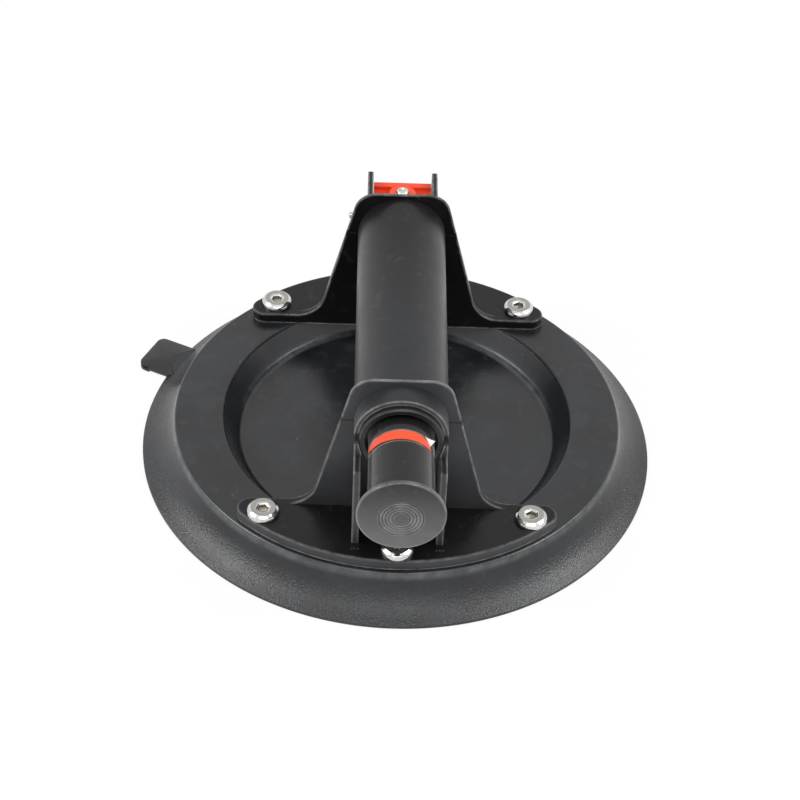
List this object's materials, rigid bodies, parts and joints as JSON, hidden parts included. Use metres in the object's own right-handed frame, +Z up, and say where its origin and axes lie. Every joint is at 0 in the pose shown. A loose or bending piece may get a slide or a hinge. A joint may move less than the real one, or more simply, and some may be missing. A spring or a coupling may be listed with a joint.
{
  "type": "floor tile suction lifter",
  "caption": "Hand-pumped vacuum cup lifter: round rubber cup, bridge grip with a pump inside, push button at one end and a release lever at the other.",
  "frame": {"origin": "centre of the rubber rim's lower plane, on the cup's axis", "axes": "+Z up out of the cup, +Y along the grip from the pump button to the release lever, +X to the right seen from the button"},
  "size_m": [0.2151, 0.215, 0.0857],
  "materials": {
    "cup_rubber": "satin moulded rubber with a fine grain",
    "seal_rubber": "smooth",
    "handle_plastic": "satin moulded ABS",
    "pump_plastic": "smooth satin",
    "plunger_plastic": "smooth satin",
    "signal_red": "smooth tape",
    "lever_orange": "smooth moulded",
    "zinc_steel": "bright zinc plate",
    "spring_steel": "drawn wire",
    "backing_steel": "zinc plate",
    "nipple_brass": "turned",
    "hose_rubber": "extruded",
    "filter_felt": "pressed felt"
  },
  "bodies": {
    "handle": {"rubber_cup": "cup_rubber", "backing_ring": "backing_steel", "threaded_inserts": "backing_steel", "foot_bolts": "zinc_steel", "handle_body": "handle_plastic", "handle_shell": "handle_plastic", "pump_cylinder": "pump_plastic", "cylinder_end_cap": "pump_plastic", "end_cap_seal": "seal_rubber", "intake_flap": "seal_rubber", "intake_flap_pin": "zinc_steel", "guide_bush": "pump_plastic", "outlet_elbow": "pump_plastic", "air_hose": "hose_rubber", "pad_nipple": "nipple_brass", "port_filter": "filter_felt", "return_spring": "spring_steel", "pivot_screw": "zinc_steel", "pivot_nut": "zinc_steel", "lever_spring": "spring_steel"},
    "plunger": {"plunger": "plunger_plastic", "indicator_band": "signal_red", "piston_head": "pump_plastic", "piston_seal": "seal_rubber", "exhaust_flap": "seal_rubber", "exhaust_flap_screw": "zinc_steel"},
    "lever": {"release_lever": "lever_orange", "lever_screw": "zinc_steel", "valve_arm": "zinc_steel", "valve_pad": "seal_rubber"}
  },
  "joints": [
    {"name": "plunger_slide", "type": "slide", "parent": "handle", "child": "plunger", "axis": [0, 1, 0], "range_m": [0, 0.0375], "stiffness_N_per_m": 250, "springref_m": -0.04, "deforming": ["return_spring"]},
    {"name": "lever_hinge", "type": "hinge", "parent": "handle", "child": "lever", "pos_m": [0, 0.0695, 0.0658], "axis": [1, 0, 0], "range_deg": [0, 12], "stiffness_Nm_per_rad": 0.25, "springref_deg": -17.19, "deforming": ["lever_spring"]}
  ]
}
